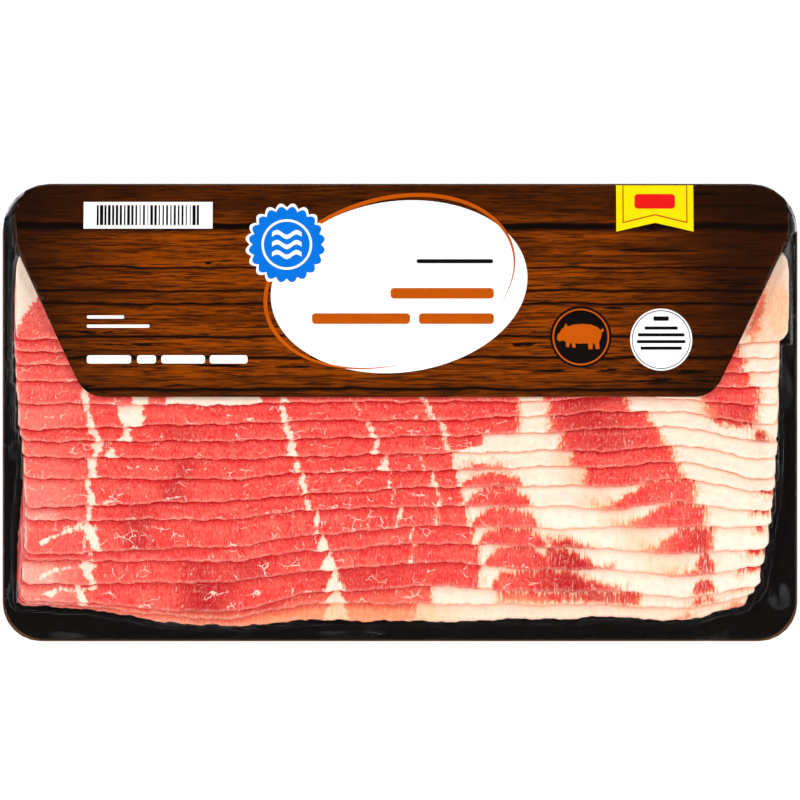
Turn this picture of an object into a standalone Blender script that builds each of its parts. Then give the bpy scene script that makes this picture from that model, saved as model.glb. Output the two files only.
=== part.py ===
"""Vacuum pack of sliced raw bacon, lying on its back.

A stiff black backing board carries a shingle of bacon slices. A printed front
card is joined to the board's top edge and slopes up over the first slices, and
a clear film covers everything and is sealed to the board's border.

Units are metres. +X runs along the slices, +Y towards the printed card's top
edge and +Z up, away from the board. The origin is under the middle of the
board. The slices are numbered from the lowest one, at the foot of the shingle.
"""
import math

import bmesh
import bpy
from mathutils import Vector

MM = 0.001
GAP = 0.3 * MM                      # air left between pieces that touch

# Backing board
BOARD_LENGTH = 270.0 * MM
BOARD_WIDTH = 155.4 * MM
BOARD_THICKNESS = 0.6 * MM
TOP_CORNER_RADIUS = 16.0 * MM
FOOT_CORNER_RADIUS = 13.0 * MM

# Slices
SLICE_THICKNESS = 2.3 * MM          # measured straight up
SLICE_RISE = 2.6 * MM               # from one slice to the next above it
SLICE_SPAN = 6                      # how many edge lines one slice reaches over
TOP_SLICE_BACK = 57.0 * MM          # hidden upper edge of the last slice
LEFT_END = -129.1 * MM
LEFT_END_SWAY = 1.8 * MM
RIGHT_END = 129.0 * MM
RIGHT_END_STEP = 10.7 * MM          # how much shorter the lowest slice is
TOP_SLICE_RIGHT_END = 132.4 * MM
EDGE_CORNER_INSET = 1.2 * MM
BACK_CORNER_INSET = 2.5 * MM

# Columns where the slices' outlines are shaped, from left to right
COLUMNS = [MM * x for x in (-119, -102, -85, -66, -46, -25, -5, 15, 37, 56, 76, 95, 114)]

# Places along a slice where the level of its lower edge is given
EDGE_STATIONS = [MM * x for x in (-125, -60, 10, 54, 70, 122)]

# Level of each slice's lower edge at those places, in millimetres
SLICE_EDGES = (
    (-65.0, -72.5, -71.0, -70.0, -69.5, -65.0),
    (-63.8, -70.0, -65.0, -65.2, -65.5, -62.3),
    (-62.6, -67.8, -59.0, -61.0, -60.4, -59.3),
    (-58.3, -57.6, -50.8, -53.6, -53.0, -52.5),
    (-50.2, -50.5, -44.4, -45.7, -46.4, -46.4),
    (-47.0, -45.7, -38.3, -39.3, -38.9, -38.6),
    (-36.6, -36.2, -31.8, -31.8, -32.8, -33.5),
    (-32.1, -30.1, -25.3, -24.7, -25.0, -26.7),
    (-22.3, -22.6, -19.6, -18.2, -18.5, -22.3),
    (-15.1, -15.8, -13.8, -12.8, -13.1, -15.5),
    (-9.7, -9.7, -8.0, -6.6, -5.3, -9.7),
    (-5.6, -3.9, -2.6, -0.9, 0.5, -3.9),
    (2.9, 2.6, 3.6, 3.9, 5.8, 2.5),
    (10.7, 8.3, 8.3, 9.0, 10.3, 8.3),
    (16.2, 13.4, 13.4, 13.8, 14.8, 13.6),
    (20.6, 18.5, 18.5, 18.5, 19.2, 18.6),
    (24.7, 23.3, 23.3, 23.6, 23.5, 23.6),
)
SLICE_COUNT = len(SLICE_EDGES)
LAST_LINE = SLICE_COUNT + SLICE_SPAN

# Printed card
CARD_THICKNESS = 0.5 * MM
CARD_TOP = 77.4 * MM
CARD_FOOT = 5.3 * MM
CARD_BEND_START = 34.0 * MM         # where the slope starts to level out
CARD_BEND_END = 27.0 * MM           # where the card lies level on the slices
CARD_BEND_DROP = 2.2 * MM           # height lost between those two lines

# Film
FILM_THICKNESS = 0.25 * MM
FILM_STAND_OFF = 0.7 * MM           # clear of the slices' ends and edges
FILM_SKIRT = 1.9 * MM               # run of the steep side down to the border
FILM_RIM_INSET = 0.2 * MM
FILM_CARD_CLEARANCE = 0.7 * MM
FILM_TOP_ROWS = [MM * y for y in (67.0, 75.5)]
SHEET_MARGIN = 1.0 * MM             # how far a sheet runs past its cutter

BASE = BOARD_THICKNESS + GAP        # height of the first slice's underside
STACK_TOP = BASE + SLICE_SPAN * SLICE_RISE + SLICE_THICKNESS
CARD_LEVEL = STACK_TOP + GAP + 0.05 * MM


def remove_old_objects():
    for old in list(bpy.data.objects):
        bpy.data.objects.remove(old, do_unlink=True)


def new_collection(name, hidden=False):
    group = bpy.data.collections.new(name)
    bpy.context.scene.collection.children.link(group)
    group.hide_render = hidden
    return group


def new_material(name, colour, roughness, metallic=0.0, alpha=1.0):
    material = bpy.data.materials.new(name)
    material.use_nodes = True
    shader = material.node_tree.nodes["Principled BSDF"]
    shader.inputs["Base Color"].default_value = (*colour, 1.0)
    shader.inputs["Roughness"].default_value = roughness
    shader.inputs["Metallic"].default_value = metallic
    shader.inputs["Alpha"].default_value = alpha
    material.diffuse_color = (*colour, alpha)
    return material


def smooth_blend(start, end, amount):
    amount = min(max(amount, 0.0), 1.0)
    return start + (end - start) * amount * amount * (3.0 - 2.0 * amount)


def edge_line(line, x):
    """Y of an edge line at x: line k is the lower edge of slice k.

    The lines past the last slice's edge divide the rest of its width evenly.
    """
    if line > SLICE_COUNT:
        share = (line - SLICE_COUNT) / SLICE_SPAN
        front = edge_line(SLICE_COUNT, x)
        return front + (TOP_SLICE_BACK - front) * share
    levels = [MM * level for level in SLICE_EDGES[line - 1]]
    for index in range(len(EDGE_STATIONS) - 1):
        left, right = EDGE_STATIONS[index], EDGE_STATIONS[index + 1]
        if x <= right:
            return smooth_blend(levels[index], levels[index + 1], (x - left) / (right - left))
    return levels[-1]


def slice_ends(number):
    """Left and right end of a slice: the left ends sway, the right ends step out."""
    left = LEFT_END + LEFT_END_SWAY * math.cos((number - 7) * math.pi / 8.5)
    right = RIGHT_END - RIGHT_END_STEP * math.exp(-(number - 1) / 4.0)
    if number == SLICE_COUNT:
        right = TOP_SLICE_RIGHT_END
    return left, right


def slices_under(number, line):
    """How many lower slices lie under this one at an edge line."""
    return number - min(number, max(1, line - SLICE_SPAN))


def card_height(y):
    """Height of the card's underside: a straight slope, a bend and a level part."""
    slope_top = CARD_LEVEL - CARD_BEND_DROP
    if y >= CARD_BEND_START:
        share = (CARD_TOP - y) / (CARD_TOP - CARD_BEND_START)
        return BASE + (slope_top - BASE) * share
    if y <= CARD_BEND_END:
        return CARD_LEVEL
    share = (CARD_BEND_START - y) / (CARD_BEND_START - CARD_BEND_END)
    return slope_top + CARD_BEND_DROP * share * (2.0 - share)


def fillet(corners, steps=6):
    """Closed outline through (x, y, radius) corners, each rounded by an arc."""
    outline = []
    count = len(corners)
    for index, (x, y, radius) in enumerate(corners):
        here = Vector((x, y))
        before = (Vector(corners[index - 1][:2]) - here).normalized()
        after = (Vector(corners[(index + 1) % count][:2]) - here).normalized()
        half = before.angle(after) / 2.0
        reach = radius / math.tan(half)
        centre = here + (before + after).normalized() * (radius / math.sin(half))
        first = here + before * reach - centre
        turn = first.angle_signed(here + after * reach - centre)
        for step in range(steps + 1):
            angle = -turn * step / steps
            arm = Vector((first.x * math.cos(angle) - first.y * math.sin(angle),
                          first.x * math.sin(angle) + first.y * math.cos(angle)))
            outline.append(centre + arm)
    return outline


def board_outline(inset=0.0):
    half_length = BOARD_LENGTH / 2.0 - inset
    half_width = BOARD_WIDTH / 2.0 - inset
    return fillet((
        (-half_length, -half_width, FOOT_CORNER_RADIUS - inset),
        (half_length, -half_width, FOOT_CORNER_RADIUS - inset),
        (half_length, half_width, TOP_CORNER_RADIUS - inset),
        (-half_length, half_width, TOP_CORNER_RADIUS - inset),
    ))


def card_outline():
    """Flag shape: square at the top edge, slanting in to a narrower foot."""
    return fillet((
        (-106.6 * MM, CARD_FOOT, 10.0 * MM),
        (105.9 * MM, CARD_FOOT, 10.0 * MM),
        (132.4 * MM, 60.4 * MM, 10.0 * MM),
        (132.4 * MM, CARD_TOP, 12.0 * MM),
        (-131.9 * MM, CARD_TOP, 12.0 * MM),
        (-130.9 * MM, 57.0 * MM, 30.0 * MM),
    ))


def plate(name, outline, bottom, top, group):
    """Flat plate from a closed outline: a filled 2D curve turned into one closed mesh."""
    curve = bpy.data.curves.new(name, "CURVE")
    curve.dimensions = "2D"
    curve.fill_mode = "BOTH"
    curve.extrude = (top - bottom) / 2.0
    spline = curve.splines.new("POLY")
    spline.points.add(len(outline) - 1)
    for point, place in zip(spline.points, outline):
        point.co = (place.x, place.y, 0.0, 1.0)
    spline.use_cyclic_u = True
    guide = bpy.data.objects.new(name + "_outline", curve)
    guide.location.z = (top + bottom) / 2.0
    bpy.context.scene.collection.objects.link(guide)
    bpy.context.view_layer.update()
    evaluated = guide.evaluated_get(bpy.context.evaluated_depsgraph_get())
    mesh = bpy.data.meshes.new_from_object(evaluated)
    mesh.name = name
    bm = bmesh.new()
    bm.from_mesh(mesh)
    bmesh.ops.remove_doubles(bm, verts=bm.verts, dist=0.01 * MM)
    bmesh.ops.recalc_face_normals(bm, faces=bm.faces)
    bm.to_mesh(mesh)
    bm.free()
    made = bpy.data.objects.new(name, mesh)
    made.matrix_world = guide.matrix_world.copy()
    group.objects.link(made)
    bpy.data.objects.remove(guide, do_unlink=True)
    return made


def cutter_plate(name, outline, bottom, top, group):
    cutter = plate(name, outline, bottom, top, group)
    cutter.hide_render = True
    cutter.display_type = "WIRE"
    return cutter


def placed_grid(columns, rows, place):
    """Open grid of columns by rows, whose corner (i, j) is moved to place(i, j)."""
    bm = bmesh.new()
    bmesh.ops.create_grid(bm, x_segments=columns - 1, y_segments=rows - 1, size=1.0)
    for vert in bm.verts:
        i = round((vert.co.x + 1.0) / 2.0 * (columns - 1))
        j = round((vert.co.y + 1.0) / 2.0 * (rows - 1))
        vert.co = place(i, j)
    return bm


def finish_mesh(bm, name, group, material, smooth_angle=None):
    mesh = bpy.data.meshes.new(name)
    bm.to_mesh(mesh)
    bm.free()
    made = bpy.data.objects.new(name, mesh)
    made.data.materials.append(material)
    group.objects.link(made)
    if smooth_angle is not None:
        mesh.shade_smooth()
        mesh.set_sharp_from_angle(angle=math.radians(smooth_angle))
    return made


def add_cut(target, cutter):
    cut = target.modifiers.new("trim_to_outline", "BOOLEAN")
    cut.operation = "INTERSECT"
    cut.solver = "EXACT"
    cut.object = cutter


def add_shell(target, thickness):
    shell = target.modifiers.new("sheet_thickness", "SOLIDIFY")
    shell.thickness = thickness
    shell.offset = 1.0


def build_slice(number, group, material):
    """One slice: a strip laid over the lower ones, then raised to its thickness."""
    left, right = slice_ends(number)
    across = [left] + COLUMNS + [right]

    def place(i, j):
        line = number + j
        x = across[i]
        inset = {0: EDGE_CORNER_INSET, SLICE_SPAN: BACK_CORNER_INSET}.get(j, 0.0)
        if i == 0:
            x += inset
        elif i == len(across) - 1:
            x -= inset
        height = BASE + SLICE_RISE * slices_under(number, line)
        return Vector((x, edge_line(line, x), height))

    bm = placed_grid(len(across), SLICE_SPAN + 1, place)
    raised = bmesh.ops.extrude_face_region(bm, geom=bm.faces[:])
    top_verts = [item for item in raised["geom"] if isinstance(item, bmesh.types.BMVert)]
    bmesh.ops.translate(bm, verts=top_verts, vec=(0.0, 0.0, SLICE_THICKNESS))
    bmesh.ops.recalc_face_normals(bm, faces=bm.faces)
    return finish_mesh(bm, f"slice_{number:02d}", group, material, smooth_angle=40)


def build_card(group, cutters, material):
    bend_steps = 3
    bend = [CARD_BEND_START + (CARD_BEND_END - CARD_BEND_START) * step / bend_steps
            for step in range(bend_steps + 1)]
    rows = [CARD_FOOT - SHEET_MARGIN] + bend[::-1] + [CARD_TOP + SHEET_MARGIN]
    reach = BOARD_LENGTH / 2.0 + SHEET_MARGIN

    def place(i, j):
        return Vector((reach * (2 * i - 1), rows[j], card_height(rows[j])))

    card = finish_mesh(placed_grid(2, len(rows), place), "front_card", group, material)
    add_shell(card, CARD_THICKNESS)
    add_cut(card, cutter_plate("card_outline_cutter", card_outline(), -MM, 30.0 * MM, cutters))
    return card


def film_span(line):
    """Left and right limits of the film's raised part at an edge line."""
    if line > LAST_LINE:
        reach = BOARD_LENGTH / 2.0 - 2.2 * MM
        return -reach, reach
    present = range(max(1, line - SLICE_SPAN), min(SLICE_COUNT, line) + 1)
    ends = [slice_ends(number) for number in present]
    left = min(end[0] for end in ends) - FILM_STAND_OFF
    right = max(end[1] for end in ends) + FILM_STAND_OFF
    if line > SLICE_COUNT:
        left = min(left, -131.6 * MM)
        right = max(right, 133.0 * MM)
    return left, right


def film_height(line, y):
    """Height of the film's underside over the slices and the card."""
    over_slices = STACK_TOP - SLICE_RISE * max(0, SLICE_SPAN + 1 - line) + GAP
    over_level_card = CARD_LEVEL + CARD_THICKNESS + GAP
    if line < SLICE_COUNT - 4:
        return over_slices
    return min(card_height(y) + CARD_THICKNESS + FILM_CARD_CLEARANCE, over_level_card)


def build_film(group, cutters, material):
    """Clear skin over slices and card, with a flat rim on the board's border."""
    last_row = LAST_LINE + len(FILM_TOP_ROWS)
    half_width = BOARD_WIDTH / 2.0 + SHEET_MARGIN
    half_length = BOARD_LENGTH / 2.0 + SHEET_MARGIN
    column_count = len(COLUMNS) + 6

    def place(i, j):
        line = min(max(j - 1, 1), last_row)
        left, right = film_span(line)
        skirt_left = max(left - FILM_SKIRT, -134.3 * MM)
        skirt_right = min(right + FILM_SKIRT, 134.3 * MM)
        across = [-half_length, skirt_left, left] + COLUMNS + [right, skirt_right, half_length]
        x = across[i]
        on_border = i in (0, 1, column_count - 2, column_count - 1) or j in (0, 1)
        if j == 0:
            return Vector((x, -half_width, BASE))
        if j == last_row + 2:
            return Vector((x, half_width, card_height(CARD_TOP) + CARD_THICKNESS + FILM_CARD_CLEARANCE))
        if line > LAST_LINE:
            y = FILM_TOP_ROWS[line - LAST_LINE - 1]
        else:
            y = edge_line(line, x)
        if line <= 3:
            y -= FILM_STAND_OFF
        if j == 1:
            y -= FILM_SKIRT
        height = film_height(line, y)
        if on_border:
            top_edge = card_height(CARD_TOP) + CARD_THICKNESS + FILM_CARD_CLEARANCE
            height = top_edge if line == last_row else BASE
        return Vector((x, y, height))

    film = finish_mesh(placed_grid(column_count, last_row + 3, place), "film", group, material)
    add_shell(film, FILM_THICKNESS)
    outline = board_outline(FILM_RIM_INSET)
    add_cut(film, cutter_plate("film_outline_cutter", outline, -MM, 30.0 * MM, cutters))
    return film


def main():
    remove_old_objects()
    parts = new_collection("bacon_pack")
    cutters = new_collection("cutters", hidden=True)

    board_black = new_material("board_black", (0.012, 0.011, 0.011), 0.35)
    card_print = new_material("card_print", (0.15, 0.03, 0.003), 0.45)
    raw_bacon = new_material("raw_bacon", (0.85, 0.22, 0.17), 0.35)
    clear_film = new_material("clear_film", (0.9, 0.92, 0.95), 0.05, alpha=0.25)

    board = plate("backing_board", board_outline(), 0.0, BOARD_THICKNESS, parts)
    board.data.materials.append(board_black)
    for number in range(1, SLICE_COUNT + 1):
        build_slice(number, parts, raw_bacon)
    build_card(parts, cutters, card_print)
    build_film(parts, cutters, clear_film)


main()
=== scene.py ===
"""Vacuum pack of sliced raw bacon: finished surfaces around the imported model."""
import math
import random
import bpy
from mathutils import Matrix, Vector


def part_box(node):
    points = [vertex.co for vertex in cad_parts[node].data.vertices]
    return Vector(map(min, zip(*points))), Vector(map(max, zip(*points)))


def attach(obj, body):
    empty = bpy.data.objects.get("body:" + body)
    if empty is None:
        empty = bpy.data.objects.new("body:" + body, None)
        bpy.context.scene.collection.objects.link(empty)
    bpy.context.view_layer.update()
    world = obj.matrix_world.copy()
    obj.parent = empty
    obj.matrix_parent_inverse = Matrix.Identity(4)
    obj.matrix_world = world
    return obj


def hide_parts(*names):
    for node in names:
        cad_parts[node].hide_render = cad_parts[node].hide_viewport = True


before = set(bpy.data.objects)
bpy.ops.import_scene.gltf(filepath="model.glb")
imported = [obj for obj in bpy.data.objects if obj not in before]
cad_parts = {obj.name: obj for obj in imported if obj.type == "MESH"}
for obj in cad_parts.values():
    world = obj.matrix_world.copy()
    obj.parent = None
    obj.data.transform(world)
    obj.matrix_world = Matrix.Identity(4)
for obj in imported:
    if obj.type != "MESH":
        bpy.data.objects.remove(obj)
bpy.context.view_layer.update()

import bmesh
import bpy
import numpy as np
from mathutils import Vector
from mathutils.geometry import delaunay_2d_cdt

MM = 0.001
RNG_SEED = 20

# ---------------------------------------------------------------- sizes, as the solids have them

BOARD_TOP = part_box("backing_board")[1][2]
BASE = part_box("slice_01")[0][2]                 # underside of the first slice
SLICE_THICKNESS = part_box("slice_01")[1][2] - BASE
SLICE_RISE = 2.6 * MM                           # from one slice to the next above it
SLICE_SPAN = 6                                  # edge lines that one slice reaches over
TOP_SLICE_BACK = 57.0 * MM
EDGE_STATIONS = [MM * x for x in (-125, -60, -27, 10, 54, 70, 95, 122)]
# Level of each slice's lower edge at those places, in millimetres, lowest slice first
SLICE_EDGES = (
    (-65.6, -72.5, -70.5, -71.0, -70.0, -69.5, -70.5, -65.0),
    (-64.9, -70.0, -64.8, -65.0, -65.2, -65.5, -66.5, -62.3),
    (-64.0, -67.8, -61.0, -59.0, -61.0, -60.4, -62.7, -59.3),
    (-58.3, -57.6, -53.6, -50.8, -53.6, -53.0, -55.6, -52.5),
    (-50.2, -50.5, -46.8, -44.4, -45.7, -46.4, -47.8, -46.4),
    (-48.0, -45.7, -41.3, -38.3, -39.3, -38.9, -38.9, -38.6),
    (-36.6, -36.2, -32.8, -31.8, -31.8, -32.8, -30.4, -33.5),
    (-32.1, -30.1, -27.4, -25.3, -24.7, -25.0, -22.3, -26.7),
    (-22.3, -22.6, -20.2, -19.6, -18.2, -18.5, -16.5, -22.3),
    (-15.1, -15.8, -14.8, -13.8, -12.8, -13.1, -11.0, -15.5),
    (-9.7, -9.7, -8.7, -8.0, -6.6, -5.3, -4.9, -9.7),
    (-5.6, -3.9, -2.6, -2.6, -0.9, 0.5, 0.2, -3.9),
    (2.9, 2.6, 3.6, 3.6, 3.9, 5.8, 4.5, 2.5),
    (10.7, 8.3, 8.3, 8.3, 9.0, 10.3, 9.3, 8.3),
    (16.2, 13.4, 13.4, 13.4, 13.8, 14.8, 14.2, 13.6),
    (20.6, 18.5, 18.5, 18.5, 18.5, 19.2, 18.9, 18.6),
    (24.7, 23.3, 23.3, 23.3, 23.6, 23.5, 23.3, 23.6),
)
SLICE_COUNT = len(SLICE_EDGES)
STACK_TOP = BASE + SLICE_SPAN * SLICE_RISE + SLICE_THICKNESS

CARD_THICKNESS = 0.5 * MM
CARD_TOP = 77.4 * MM
CARD_FOOT = 5.3 * MM
CARD_BEND_START = 34.0 * MM
CARD_BEND_END = 27.0 * MM
CARD_BEND_DROP = 2.2 * MM
CARD_LEVEL = STACK_TOP + 0.35 * MM


def smooth_step(t):
    t = np.clip(t, 0.0, 1.0)
    return t * t * (3.0 - 2.0 * t)


def edge_line(line, x):
    """Y of edge line number line at the places x: line k is slice k's lower edge."""
    x = np.asarray(x, dtype=float)
    if line > SLICE_COUNT:
        front = edge_line(SLICE_COUNT, x)
        return front + (TOP_SLICE_BACK - front) * (line - SLICE_COUNT) / SLICE_SPAN
    levels = np.array(SLICE_EDGES[line - 1]) * MM
    stations = np.array(EDGE_STATIONS)
    place = np.clip(np.searchsorted(stations, x) - 1, 0, len(stations) - 2)
    share = smooth_step((x - stations[place]) / (stations[place + 1] - stations[place]))
    base = levels[place] + (levels[place + 1] - levels[place]) * share
    return base + edge_wobble(line, x)


def edge_wobble(line, x):
    """Small waves along an edge line, the same for every slice that shares it."""
    draw = random.Random(RNG_SEED + line)
    total = np.zeros_like(x)
    for wave_length, height in ((31.0, 0.2), (14.0, 0.16), (6.3, 0.13), (3.1, 0.09), (1.7, 0.05)):
        phase = draw.uniform(0.0, 2.0 * math.pi)
        stretch = draw.uniform(0.85, 1.2)
        total += MM * height * np.sin(2.0 * math.pi * x / (wave_length * stretch * MM) + phase)
    return total


def slices_under(number, line):
    """How many slices lie under a slice at an edge line."""
    return number - min(number, max(1, line - SLICE_SPAN))


def slice_ends(number):
    """Left and right end of a slice."""
    left = -129.1 + 1.8 * math.cos((number - 7) * math.pi / 8.5)
    right = 129.0 - 10.7 * math.exp(-(number - 1) / 4.0)
    if number == SLICE_COUNT:
        right = 132.2
    return left * MM, right * MM


def slice_underside(number, x, y):
    """Height of a slice's underside at points (x, y), between its edge lines."""
    lines = range(number, number + SLICE_SPAN + 1)
    levels = np.stack([edge_line(line, x) for line in lines])
    steps = [slices_under(number, line) for line in lines]
    height = np.full_like(y, float(steps[0]))
    for index in range(SLICE_SPAN):
        low, high = levels[index], levels[index + 1]
        share = np.clip((y - low) / (high - low), 0.0, 1.0)
        height += (steps[index + 1] - steps[index]) * share
    return BASE + SLICE_RISE * height


def card_height(y):
    """Height of the card's underside: a straight slope, a bend and a level part."""
    y = np.asarray(y, dtype=float)
    slope_top = CARD_LEVEL - CARD_BEND_DROP
    rising = BASE + (slope_top - BASE) * (CARD_TOP - y) / (CARD_TOP - CARD_BEND_START)
    share = np.clip((CARD_BEND_START - y) / (CARD_BEND_START - CARD_BEND_END), 0.0, 1.0)
    bend = slope_top + CARD_BEND_DROP * share * (2.0 - share)
    return np.where(y >= CARD_BEND_START, rising, bend)


# ---------------------------------------------------------------- shader helpers

def linear(*channels):
    """A colour given in 0 to 255 steps, as linear light."""
    steps = [channel / 255.0 for channel in channels]
    return tuple(c / 12.92 if c <= 0.04045 else ((c + 0.055) / 1.055) ** 2.4 for c in steps) + (1.0,)


class Graph:
    """Short calls for making and joining shader nodes."""

    def __init__(self, tree):
        self.tree = tree

    def node(self, kind, **settings):
        made = self.tree.nodes.new(kind)
        for name, value in settings.items():
            setattr(made, name, value)
        return made

    def feed(self, socket, value):
        if isinstance(value, bpy.types.NodeSocket):
            self.tree.links.new(value, socket)
        elif value is not None:
            socket.default_value = value

    def math(self, operation, a, b=None, c=None, clamp=False):
        made = self.node("ShaderNodeMath", operation=operation, use_clamp=clamp)
        for socket, value in zip(made.inputs, (a, b, c)):
            self.feed(socket, value)
        return made.outputs[0]

    def remap(self, value, low, high, to_low=0.0, to_high=1.0, smooth=True):
        kind = "SMOOTHSTEP" if smooth else "LINEAR"
        made = self.node("ShaderNodeMapRange", interpolation_type=kind)
        for name, item in (("Value", value), ("From Min", low), ("From Max", high),
                           ("To Min", to_low), ("To Max", to_high)):
            self.feed(made.inputs[name], item)
        return made.outputs["Result"]

    def mix(self, amount, first, second):
        """Colour that goes from first to second as amount goes from 0 to 1."""
        made = self.node("ShaderNodeMix", data_type="RGBA")
        self.feed(made.inputs["Factor"], amount)
        self.feed(made.inputs[6], first)
        self.feed(made.inputs[7], second)
        return made.outputs[2]

    def attribute(self, name):
        return self.node("ShaderNodeAttribute", attribute_name=name).outputs["Fac"]

    def place(self, scale=(1.0, 1.0, 1.0), shift=(0.0, 0.0, 0.0)):
        """Object coordinates in millimetres, stretched by scale."""
        coordinate = self.node("ShaderNodeTexCoord").outputs["Object"]
        mapping = self.node("ShaderNodeMapping")
        self.feed(mapping.inputs["Vector"], coordinate)
        mapping.inputs["Scale"].default_value = [1000.0 * s for s in scale]
        mapping.inputs["Location"].default_value = shift
        return mapping.outputs["Vector"]

    def noise(self, vector, scale=1.0, detail=2.0, roughness=0.5, distortion=0.0):
        made = self.node("ShaderNodeTexNoise")
        self.feed(made.inputs["Vector"], vector)
        made.inputs["Scale"].default_value = scale
        made.inputs["Detail"].default_value = detail
        made.inputs["Roughness"].default_value = roughness
        made.inputs["Distortion"].default_value = distortion
        return made.outputs["Fac"]

    def ramp(self, value, stops):
        made = self.node("ShaderNodeValToRGB")
        elements = made.color_ramp.elements
        while len(elements) < len(stops):
            elements.new(0.5)
        for element, (position, colour) in zip(elements, sorted(stops, key=lambda s: s[0])):
            element.position = position
            element.color = colour
        self.feed(made.inputs["Fac"], value)
        return made.outputs["Color"]

    def bump(self, height, strength, distance):
        made = self.node("ShaderNodeBump")
        made.inputs["Strength"].default_value = strength
        made.inputs["Distance"].default_value = distance
        self.feed(made.inputs["Height"], height)
        return made.outputs["Normal"]


def add_object(name, mesh):
    made = bpy.data.objects.new(name, mesh)
    bpy.context.scene.collection.objects.link(made)
    return made


def new_surface(name):
    """A new material, its graph and its Principled shader."""
    material = bpy.data.materials.new(name)
    material.use_nodes = True
    graph = Graph(material.node_tree)
    shader = material.node_tree.nodes["Principled BSDF"]
    return material, graph, shader


# ---------------------------------------------------------------- bacon: where lean and fat lie

class Band:
    """A run of lean that drifts along the slices from one slice to the next.

    knots holds (slice number, left, right, top): left and right in millimetres
    along the slice, and top as a share of the strip that shows, 1 or more for
    a run that fills it. A dome narrows towards its top, a wedge rises from its
    left end and a tail falls to its right end. low is the share it starts at.
    """

    def __init__(self, knots, form="run", taper=0.0, low=None):
        self.knots = sorted(knots)
        self.form = form
        self.taper = taper
        self.low = low

    def depth(self, number, x, share, strip):
        """Distance inside the run in millimetres, negative outside it."""
        numbers = [knot[0] for knot in self.knots]
        if number < numbers[0] or number > numbers[-1]:
            return np.full_like(x, -9.0)
        left, right, top = (np.interp(number, numbers, [knot[i] for knot in self.knots])
                            for i in (1, 2, 3))
        middle, half = (left + right) / 2.0, (right - left) / 2.0
        offset = np.clip((x - middle) / half, -1.0, 1.0)
        sideways = half - np.abs(x - middle) - self.taper * share
        roof = top
        if self.form == "dome":
            roof = top * np.sqrt(1.0 - offset ** 2)
        if self.form == "wedge":
            roof = top * (0.15 + 0.85 * smooth_step((offset + 1.0) / 1.3))
        if self.form == "tail":
            roof = top * (0.1 + 0.9 * smooth_step((1.0 - offset) / 1.4))
        depth = np.minimum(sideways, (roof - share) * strip)
        if self.low is not None:
            depth = np.minimum(depth, (share - self.low) * strip)
        return depth


class Seam:
    """A line of fat across the slices. knots: (slice, place, foot width, top width, slant)."""

    def __init__(self, knots):
        self.knots = sorted(knots)

    def depth(self, number, x, share):
        numbers = [knot[0] for knot in self.knots]
        if number < numbers[0] or number > numbers[-1]:
            return np.full_like(x, -9.0)
        place, foot, top, slant = (np.interp(number, numbers, [knot[i] for knot in self.knots])
                                   for i in (1, 2, 3, 4))
        up = np.clip(share, 0.0, 1.0)
        return (foot + (top - foot) * up ** 0.7) / 2.0 - np.abs(x - place - slant * up)


RIGHT_BLOCK = Band([(8, 61, 96, 2), (9, 57, 93.8, 2), (10, 53.4, 89.4, 2), (11, 49.6, 85.7, 2),
                    (12, 49, 78.2, 2), (13, 48, 75, 2), (17, 46, 72, 2)], taper=2.2)
LEAN = (
    # the long run from the left end
    Band([(1, -140, 5, 2), (2, -140, 11, 2), (3, -140, 27, 2), (4, -140, 26.5, 2), (7, -140, 21, 2),
          (9, -140, 18, 2), (10, -140, 28, 2), (11, -140, 40, 2), (17, -140, 42, 2)]),
    # low domes right of it
    Band([(3, 31, 54, .95), (5, 26.5, 50, .98), (7, 22.5, 44.5, .92), (8, 21, 41.5, .8),
          (9, 20, 36, .3)], "dome"),
    # dark feathered runs low on the right
    Band([(3, 44, 76, 1.0), (4, 49.5, 71, .9), (5, 50, 66, .5)], "tail"),
    Band([(2, 34, 81, .95)], "run", low=.12),
    # the block that drifts to the right and thins out downwards
    Band([(1, 94, 99, .3), (2, 98.6, 107, .85), (3, 99, 107, .8), (4, 99.5, 107, .85)], "dome", low=.1),
    Band([(4, 90.5, 106.5, .3), (5, 83, 105.5, .95), (6, 73, 103.5, .95), (7, 66, 99.8, 1.0)], "wedge"),
    RIGHT_BLOCK,
    # the block at the right end, and small wedges below it
    Band([(12, 103.5, 120.5, 2), (13, 102.5, 121.5, 2), (14, 101, 118, 2), (17, 100, 113, 2)]),
    Band([(11, 119.5, 125, .55)], "dome"),
    Band([(11, 106, 119, 2)], low=.72),
    Band([(2, 112, 118, 2), (3, 115, 123.5, 2), (4, 118, 124.5, 2), (5, 120.5, 123, 2), (6, 119.7, 124.5, 2),
          (7, 123, 126, 2)], low=.84),
    Band([(1, 111, 117, .5)], "dome"),
)

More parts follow.
